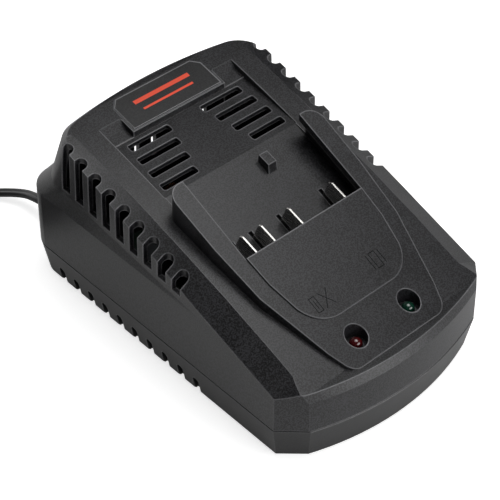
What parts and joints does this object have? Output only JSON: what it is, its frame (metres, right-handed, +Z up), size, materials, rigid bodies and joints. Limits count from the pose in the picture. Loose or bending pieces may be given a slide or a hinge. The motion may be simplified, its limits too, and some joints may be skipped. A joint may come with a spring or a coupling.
{
  "type": "battery charger",
  "caption": "Slide-on power tool battery charger with sloped seat, side rails, blade contacts, status lamps, air slots, ribbed flanks and a coiled mains lead",
  "frame": {"origin": "centre of the case's footprint on the floor, cord left out", "axes": "+X to the right, -Y the lamp end, +Y the rear wall that the cord leaves, +Z up"},
  "size_m": [0.2059, 0.2594, 0.0833],
  "materials": {
    "case_plastic": "fine moulded texture, black",
    "plate_plastic": "smooth satin black",
    "contact_metal": "nickel plated strip",
    "inner_plastic": "natural nylon",
    "wire_pvc": "insulated cores",
    "board_laminate": "single sided laminate",
    "ferrite": "sintered ferrite",
    "winding_tape": "yellow polyester tape",
    "capacitor_sleeve": "shrink sleeve",
    "film_case": "moulded box",
    "copper_wire": "enamelled copper",
    "fuse_glass": "glass tube with metal caps",
    "package_epoxy": "moulded epoxy",
    "sink_aluminium": "extruded",
    "lamp_red_lens": "diffused red, unlit",
    "lamp_green_lens": "diffused green, unlit",
    "screw_steel": "zinc plated",
    "foot_rubber": "soft black",
    "cord_pvc": "flexible black",
    "pin_metal": "nickel plated"
  },
  "bodies": {
    "root": {"upper_shell": "case_plastic", "lower_shell": "case_plastic", "name_plate": "plate_plastic", "terminal_blade_negative": "contact_metal", "terminal_blade_sensor": "contact_metal", "terminal_blade_data": "contact_metal", "terminal_blade_positive": "contact_metal", "terminal_carrier": "inner_plastic", "terminal_wires": "wire_pvc", "circuit_board": "board_laminate", "transformer_core": "ferrite", "transformer_bobbin": "inner_plastic", "transformer_winding": "winding_tape", "mains_capacitor": "capacitor_sleeve", "output_capacitors": "capacitor_sleeve", "film_capacitor": "film_case", "choke_core": "ferrite", "choke_windings": "copper_wire", "fuse": "fuse_glass", "bridge_rectifier": "package_epoxy", "primary_heat_sink": "sink_aluminium", "switching_transistor": "package_epoxy", "output_heat_sink": "sink_aluminium", "output_diode": "package_epoxy", "control_chips": "package_epoxy", "lamp_red": "lamp_red_lens", "lamp_green": "lamp_green_lens", "lamp_spacers": "inner_plastic", "board_screws": "screw_steel", "case_screws": "screw_steel", "clamp_screws": "screw_steel", "rubber_feet": "foot_rubber", "strain_relief": "cord_pvc", "inner_lead": "cord_pvc", "cord_clamp": "inner_plastic", "core_wires": "wire_pvc", "mains_cord": "cord_pvc", "cord_coil": "cord_pvc", "cord_tail": "cord_pvc", "plug_body": "cord_pvc", "plug_pins": "pin_metal"}
  },
  "joints": []
}
